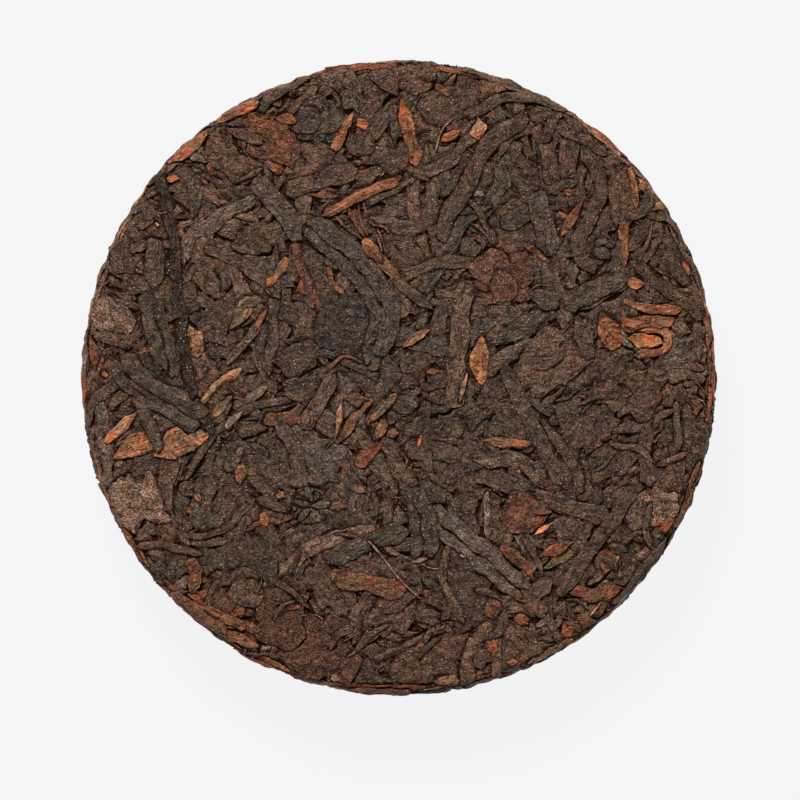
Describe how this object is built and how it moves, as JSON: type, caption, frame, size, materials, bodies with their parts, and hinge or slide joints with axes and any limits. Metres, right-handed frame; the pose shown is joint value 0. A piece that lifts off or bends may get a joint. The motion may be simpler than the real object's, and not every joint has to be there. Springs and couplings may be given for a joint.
{
  "type": "pressed cake of ripe pu-erh tea",
  "caption": "Small round pressed cake of ripe pu-erh tea, a thick flat disc with softly rounded edges, its dark brown leaves and orange buds pressed flush all over.",
  "frame": {"origin": "middle of the underside, on the surface that the cake rests on", "axes": "+Z up through the face that the picture shows, +X to the right and +Y up in the picture"},
  "size_m": [0.1046, 0.1048, 0.014],
  "materials": {
    "pressed_tea": "dry pressed tea leaves, dark brown with near-black strips and orange-brown buds, matt with a faint silky sheen along the leaves"
  },
  "bodies": {
    "root": {"tea_cake": "pressed_tea"}
  },
  "joints": []
}
